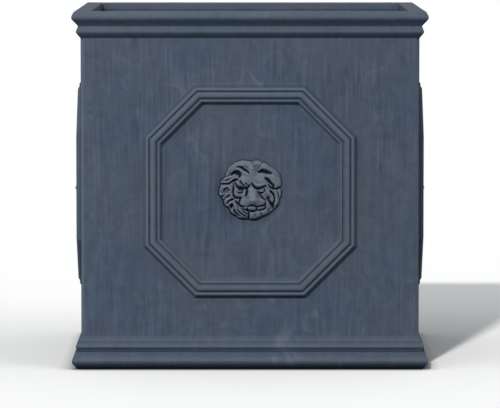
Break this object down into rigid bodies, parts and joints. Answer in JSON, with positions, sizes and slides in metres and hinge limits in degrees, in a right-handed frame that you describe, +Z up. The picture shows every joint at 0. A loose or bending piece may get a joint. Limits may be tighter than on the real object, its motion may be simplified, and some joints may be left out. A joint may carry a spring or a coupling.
{
  "type": "square planter",
  "caption": "Square free-standing garden planter with a lead finish: moulded rim and plinth, a raised octagon and a lion mask on each face, and a lift-out drain plug.",
  "frame": {"origin": "on the ground under the middle of the planter", "axes": "+Z up, front face towards -Y, +X to the right as seen from the front"},
  "size_m": [0.47, 0.47, 0.464],
  "materials": {
    "lead_finish": "slate blue-grey lead finish, brushed and lightly mottled",
    "stainless": "plain",
    "black_plastic": "satin",
    "black_rubber": "matt"
  },
  "bodies": {
    "planter": {"front_wall": "lead_finish", "right_wall": "lead_finish", "rear_wall": "lead_finish", "left_wall": "lead_finish", "front_rim": "lead_finish", "right_rim": "lead_finish", "rear_rim": "lead_finish", "left_rim": "lead_finish", "front_plinth": "lead_finish", "right_plinth": "lead_finish", "rear_plinth": "lead_finish", "left_plinth": "lead_finish", "front_octagon": "lead_finish", "right_octagon": "lead_finish", "rear_octagon": "lead_finish", "left_octagon": "lead_finish", "front_lion_mask": "lead_finish", "right_lion_mask": "lead_finish", "rear_lion_mask": "lead_finish", "left_lion_mask": "lead_finish", "front_ledge": "lead_finish", "right_ledge": "lead_finish", "rear_ledge": "lead_finish", "left_ledge": "lead_finish", "front_right_corner_batten": "lead_finish", "rear_right_corner_batten": "lead_finish", "rear_left_corner_batten": "lead_finish", "front_left_corner_batten": "lead_finish", "base_panel": "lead_finish", "mask_washers": "stainless", "mask_nuts": "stainless", "drain_bush": "black_plastic"},
    "plug": {"drain_plug": "black_rubber"}
  },
  "joints": [
    {"name": "plug_lift", "type": "slide", "parent": "planter", "child": "plug", "axis": [0, 0, 1], "range_m": [0, 0.44]}
  ]
}
